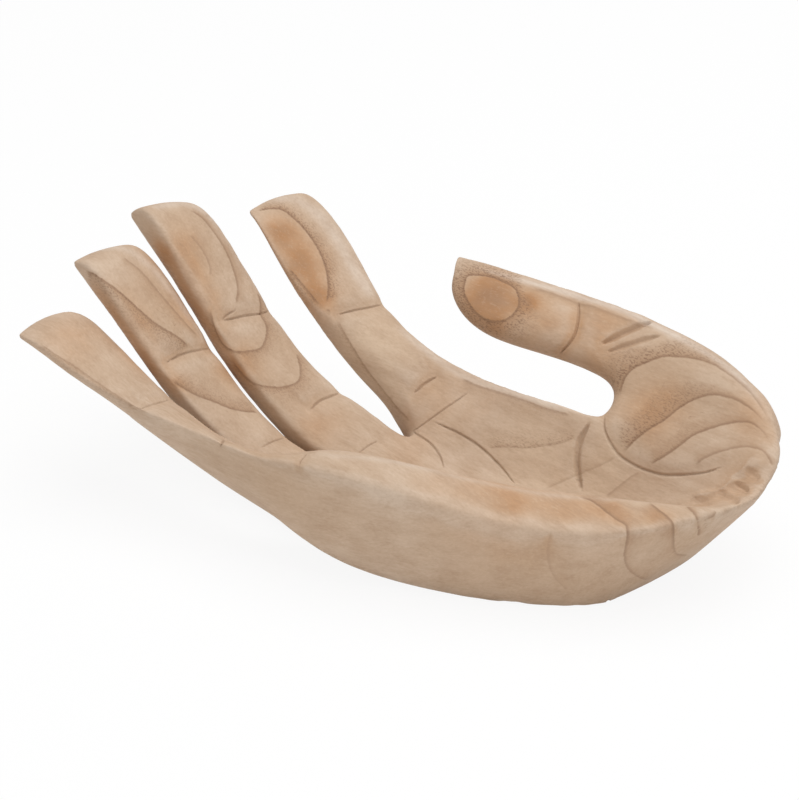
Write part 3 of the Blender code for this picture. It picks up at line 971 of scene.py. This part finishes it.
def wood_material():
    """Pale wood with clouds, streaks, fibres, flecks, rings and pores, tinted patches that carry some
    painted light and shade, painted highlights on raised edges and strips, and painted shade in the
    grooves.
    """
    mat, n = new_material("pale_wood")
    place = n.add("ShaderNodeTexCoord").outputs["Object"]
    fibre_place = n.stretched(place, FIBRE_STRETCH)
    pore_place = n.stretched(place, PORE_STRETCH)
    cloud = n.noise(place, "cloud")
    fibre = n.noise(fibre_place, "fibre")
    fleck = n.noise(pore_place, "fleck")
    line, band, pore = ring_marks(n, place, pore_place)
    tint_and_painted_light = n.times(n.attribute("tint_and_painted_light"), n.scale(cloud, *NOISE_SPAN, *TINT_CLOUDS))
    follows = dict(
        cloud=cloud,
        tint_and_painted_light=tint_and_painted_light,
        brown=tint_and_painted_light,
        golden=tint_and_painted_light,
        raised_edge_highlight=n.attribute("stand_out"),
        painted_strip_highlight=n.attribute("painted_strip_highlight"),
        streak=n.noise(fibre_place, "streak"),
        fibre=n.times(n.scale(fibre, *FIBRE_SPAN), n.scale(cloud, *CLOUD_SPAN, *FIBRE_CLOUDS)),
        dark_fleck=fleck,
        pale_fleck=fleck,
        ring_band=band,
        ring_line=line,
        pore=pore,
        painted_groove_shade=n.attribute("painted_groove_shade"),
    )
    colour = n.mix(n.scale(n.noise(place, "broad"), *GROUND_SPAN), PALE, TAN)
    for name, layer in LAYERS.items():
        share = n.scale(follows[name], *layer["span"], *layer["share"])
        colour = n.mix(share, colour, layer["colour"])

    height = n.math("SUBTRACT", n.times(fibre, FIBRE_RELIEF), n.times(pore, PORE_RELIEF))
    bump = n.add("ShaderNodeBump", {"Height": height, **BUMP}).outputs[0]
    rough = n.scale(fibre, *ROUGH_SPAN, *ROUGHNESS)
    finish = {"Base Color": colour, "Roughness": rough, "Normal": bump, "Specular IOR Level": SPECULAR}
    shader = n.add("ShaderNodeBsdfPrincipled", finish).outputs[0]
    n.add("ShaderNodeOutputMaterial", {"Surface": shader})
    return mat


def cast_lines(tree, specs):
    """Every line of a table, cast onto the carving."""
    return {name: on_wood(tree, spec["at"]) for name, spec in specs.items()}


def build_carving():
    """The hand: smoothed, drawn on, carved, finished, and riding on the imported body."""
    ob = blank()
    fill_out(ob)
    round_edges(ob)
    add_lumps(ob)
    tree = BVHTree.FromObject(ob, bpy.context.evaluated_depsgraph_get())
    creases = cast_lines(tree, CREASES)
    rings = cast_lines(tree, RINGS)
    arrises = cast_lines(tree, ARRISES)
    strips = cast_lines(tree, HIGHLIGHT_STRIPS)
    refine(ob, creases, GROOVE_REACH, GROOVE_EDGE)
    refine(ob, rings, RING_LINE_REACH, RING_LINE_EDGE)
    draw_rings(ob, rings, tree)
    draw_tints_and_painted_light(ob, tree)
    draw_highlight_strips(ob, strips)
    raise_arrises(ob, arrises)
    carve(ob, creases)
    find_edges(ob)
    ob.data.shade_smooth()
    ob.data.materials.append(wood_material())
    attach(ob, "root")
    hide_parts("hand")


def floor_material():
    """Matte white that shows nearly white to the camera and keeps a light shadow."""
    mat, n = new_material("white_floor")
    matte = n.add("ShaderNodeBsdfDiffuse", {"Color": FLOOR_MATTE}).outputs[0]
    white = n.add("ShaderNodeEmission", {"Color": WHITE, "Strength": 1.0}).outputs[0]
    share = n.times(n.seen(), FLOOR_WHITE)
    both = n.add("ShaderNodeMixShader", {0: share, 1: matte, 2: white}).outputs[0]
    n.add("ShaderNodeOutputMaterial", {"Surface": both})
    return mat


def build_floor():
    """A plain white floor at height 0, where the hand stands."""
    bm = bmesh.new()
    bmesh.ops.create_grid(bm, x_segments=1, y_segments=1, size=FLOOR_HALF)
    mesh = bpy.data.meshes.new("floor")
    bm.to_mesh(mesh)
    bm.free()
    mesh.materials.append(floor_material())
    ob = bpy.data.objects.new("floor", mesh)
    bpy.context.scene.collection.objects.link(ob)


def add_light(name, place, size, power):
    """A round soft lamp, aimed at the hand."""
    light = bpy.data.lights.new(name, "AREA")
    light.shape = "DISK"
    light.size = size
    light.energy = power
    ob = bpy.data.objects.new(name, light)
    bpy.context.scene.collection.objects.link(ob)
    ob.location = place
    ob.rotation_mode = "QUATERNION"
    ob.rotation_quaternion = (Vector(AIM) - Vector(place)).to_track_quat("-Z", "Y")


def build_world():
    """Even light from all round, seen as plain white."""
    world = bpy.data.worlds.new("studio")
    bpy.context.scene.world = world
    world.use_nodes = True
    world.node_tree.nodes.clear()
    n = Nodes(world.node_tree)
    strength = n.scale(n.seen(), 0.0, 1.0, AMBIENT, 1.0)
    light = n.add("ShaderNodeBackground", {"Color": WHITE, "Strength": strength}).outputs[0]
    n.add("ShaderNodeOutputWorld", {"Surface": light})


def build_camera():
    """The camera that matches the photograph."""
    _, _, forward = camera_axes()
    camera = bpy.data.cameras.new("camera")
    camera.sensor_width = SENSOR
    camera.lens = FOCAL_PIXELS / max(IMAGE_SIZE) * SENSOR
    ob = bpy.data.objects.new("camera", camera)
    bpy.context.scene.collection.objects.link(ob)
    ob.location = CAMERA_PLACE
    ob.rotation_mode = "QUATERNION"
    ob.rotation_quaternion = forward.to_track_quat("-Z", "Y")
    bpy.context.scene.camera = ob


build_carving()
build_floor()
add_light("key", **KEY)
add_light("fill", **FILL)
build_world()
build_camera()
bpy.context.scene.view_settings.view_transform = "Standard"
